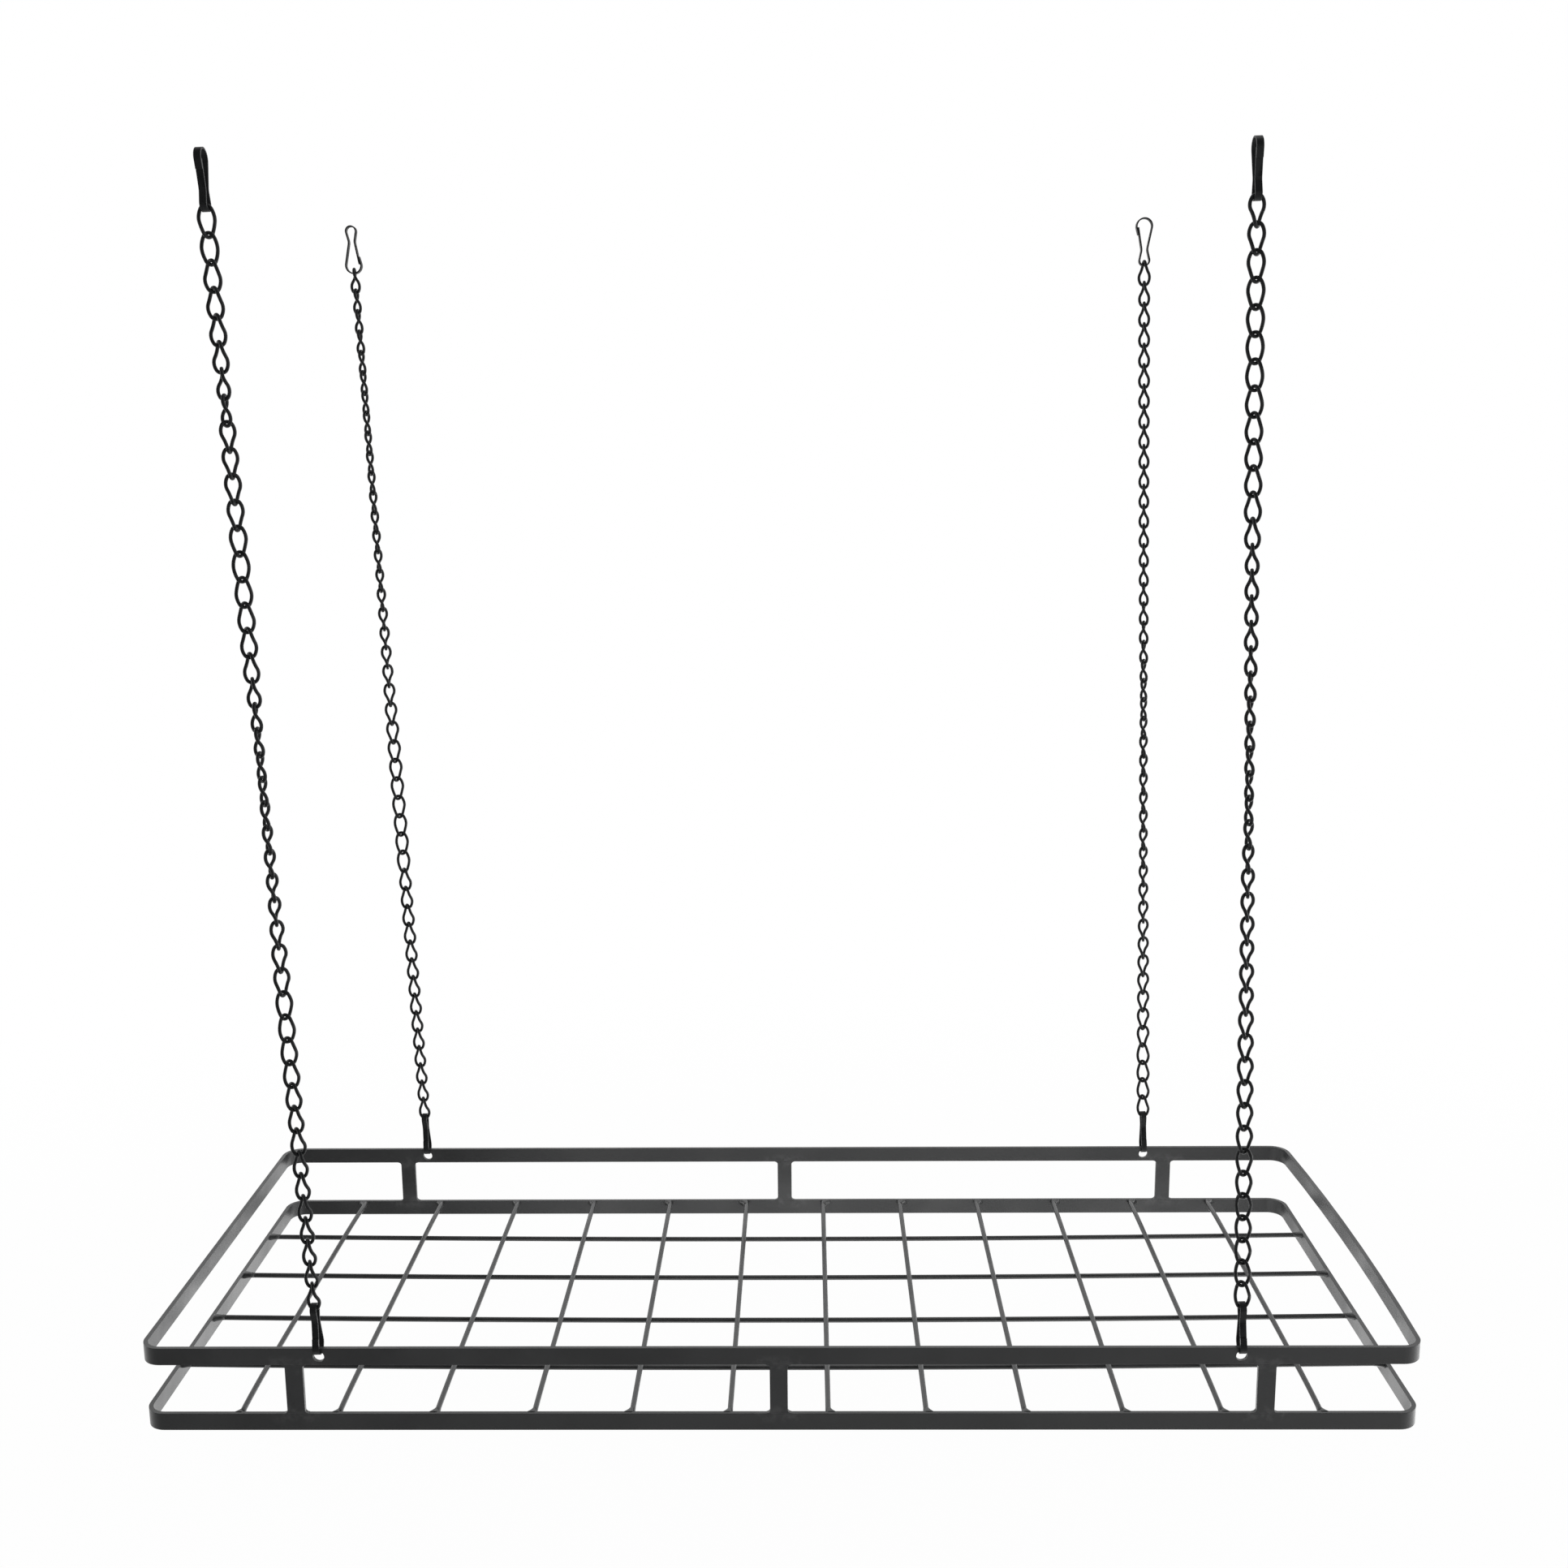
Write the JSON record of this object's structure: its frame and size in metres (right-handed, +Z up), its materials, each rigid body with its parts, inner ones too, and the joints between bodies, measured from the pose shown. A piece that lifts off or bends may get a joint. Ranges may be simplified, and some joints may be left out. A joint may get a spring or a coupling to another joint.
{
  "type": "hanging pot rack",
  "caption": "Rectangular wire-grid tray with a raised rail, hung level from its four corners on curb chains with spring hooks at both ends.",
  "frame": {"origin": "middle of the four points where the upper hooks hang on their ceiling hooks", "axes": "+X along the tray to the right, +Y to the back, +Z up"},
  "size_m": [0.9188, 0.3662, 0.8753],
  "materials": {
    "bar_black": "satin black coating over flat steel bar",
    "rod_black": "satin black coating over drawn rod",
    "chain_black": "black coated steel wire, slightly glossy",
    "hook_black": "black coated spring steel strip"
  },
  "bodies": {
    "ceiling_hooks": {"upper_hook_front_left": "hook_black", "upper_hook_front_right": "hook_black", "upper_hook_back_left": "hook_black", "upper_hook_back_right": "hook_black"},
    "top_link_front_left": {"top_link_front_left": "chain_black"},
    "chain_front_left": {"chain_front_left": "chain_black"},
    "lower_hook_front_left": {"lower_hook_front_left": "hook_black"},
    "top_link_front_right": {"top_link_front_right": "chain_black"},
    "chain_front_right": {"chain_front_right": "chain_black"},
    "lower_hook_front_right": {"lower_hook_front_right": "hook_black"},
    "top_link_back_left": {"top_link_back_left": "chain_black"},
    "chain_back_left": {"chain_back_left": "chain_black"},
    "lower_hook_back_left": {"lower_hook_back_left": "hook_black"},
    "top_link_back_right": {"top_link_back_right": "chain_black"},
    "chain_back_right": {"chain_back_right": "chain_black"},
    "lower_hook_back_right": {"lower_hook_back_right": "hook_black"},
    "tray": {"upper_ring": "bar_black", "lower_ring": "bar_black", "post_front_left": "bar_black", "post_front_middle": "bar_black", "post_front_right": "bar_black", "post_back_left": "bar_black", "post_back_middle": "bar_black", "post_back_right": "bar_black", "cross_rod_1": "rod_black", "cross_rod_2": "rod_black", "cross_rod_3": "rod_black", "cross_rod_4": "rod_black", "cross_rod_5": "rod_black", "cross_rod_6": "rod_black", "cross_rod_7": "rod_black", "cross_rod_8": "rod_black", "cross_rod_9": "rod_black", "cross_rod_10": "rod_black", "cross_rod_11": "rod_black", "cross_rod_12": "rod_black", "long_rod_1": "rod_black", "long_rod_2": "rod_black", "long_rod_3": "rod_black", "long_rod_4": "rod_black"}
  },
  "joints": [
    {"name": "sway_front_back", "type": "hinge", "parent": "ceiling_hooks", "child": "top_link_front_left", "pos_m": [-0.32636, -0.1762, -0.03728], "axis": [1, 0, 0], "range_deg": [-10, 10]},
    {"name": "sway_sideways", "type": "hinge", "parent": "top_link_front_left", "child": "chain_front_left", "pos_m": [-0.32592, -0.1762, -0.05138], "axis": [0, 1, 0], "range_deg": [-10, 10]},
    {"name": "hook_stays_upright_front_left", "type": "hinge", "parent": "chain_front_left", "child": "lower_hook_front_left", "pos_m": [-0.30364, -0.1762, -0.77679], "axis": [0, 1, 0], "range_deg": [-11, 11]},
    {"name": "sway_front_back_front_right", "type": "hinge", "parent": "ceiling_hooks", "child": "top_link_front_right", "pos_m": [0.32865, -0.1762, -0.03728], "axis": [1, 0, 0], "range_deg": [-11, 11]},
    {"name": "sway_sideways_front_right", "type": "hinge", "parent": "top_link_front_right", "child": "chain_front_right", "pos_m": [0.32908, -0.1762, -0.05138], "axis": [0, 1, 0], "range_deg": [-11, 11]},
    {"name": "hook_stays_upright_front_right", "type": "hinge", "parent": "chain_front_right", "child": "lower_hook_front_right", "pos_m": [0.35135, -0.1762, -0.77679], "axis": [0, 1, 0], "range_deg": [-11, 11]},
    {"name": "sway_front_back_back_left", "type": "hinge", "parent": "ceiling_hooks", "child": "top_link_back_left", "pos_m": [-0.32636, 0.1762, -0.03728], "axis": [1, 0, 0], "range_deg": [-11, 11]},
    {"name": "sway_sideways_back_left", "type": "hinge", "parent": "top_link_back_left", "child": "chain_back_left", "pos_m": [-0.32592, 0.1762, -0.05138], "axis": [0, 1, 0], "range_deg": [-11, 11]},
    {"name": "hook_stays_upright_back_left", "type": "hinge", "parent": "chain_back_left", "child": "lower_hook_back_left", "pos_m": [-0.30364, 0.1762, -0.77679], "axis": [0, 1, 0], "range_deg": [-11, 11]},
    {"name": "sway_front_back_back_right", "type": "hinge", "parent": "ceiling_hooks", "child": "top_link_back_right", "pos_m": [0.32865, 0.1762, -0.03728], "axis": [1, 0, 0], "range_deg": [-11, 11]},
    {"name": "sway_sideways_back_right", "type": "hinge", "parent": "top_link_back_right", "child": "chain_back_right", "pos_m": [0.32908, 0.1762, -0.05138], "axis": [0, 1, 0], "range_deg": [-11, 11]},
    {"name": "hook_stays_upright_back_right", "type": "hinge", "parent": "chain_back_right", "child": "lower_hook_back_right", "pos_m": [0.35135, 0.1762, -0.77679], "axis": [0, 1, 0], "range_deg": [-11, 11]},
    {"name": "tray_stays_level", "type": "hinge", "parent": "lower_hook_front_left", "child": "tray", "pos_m": [-0.30268, -0.1762, -0.80828], "axis": [1, 0, 0], "range_deg": [-11, 11]}
  ],
  "couplings": [
    {"joint": "hook_stays_upright_front_left", "follows": "sway_sideways", "ratio": -1},
    {"joint": "sway_front_back_front_right", "follows": "sway_front_back", "ratio": 1},
    {"joint": "sway_sideways_front_right", "follows": "sway_sideways", "ratio": 1},
    {"joint": "hook_stays_upright_front_right", "follows": "sway_sideways", "ratio": -1},
    {"joint": "sway_front_back_back_left", "follows": "sway_front_back", "ratio": 1},
    {"joint": "sway_sideways_back_left", "follows": "sway_sideways", "ratio": 1},
    {"joint": "hook_stays_upright_back_left", "follows": "sway_sideways", "ratio": -1},
    {"joint": "sway_front_back_back_right", "follows": "sway_front_back", "ratio": 1},
    {"joint": "sway_sideways_back_right", "follows": "sway_sideways", "ratio": 1},
    {"joint": "hook_stays_upright_back_right", "follows": "sway_sideways", "ratio": -1},
    {"joint": "tray_stays_level", "follows": "sway_front_back", "ratio": -1}
  ]
}
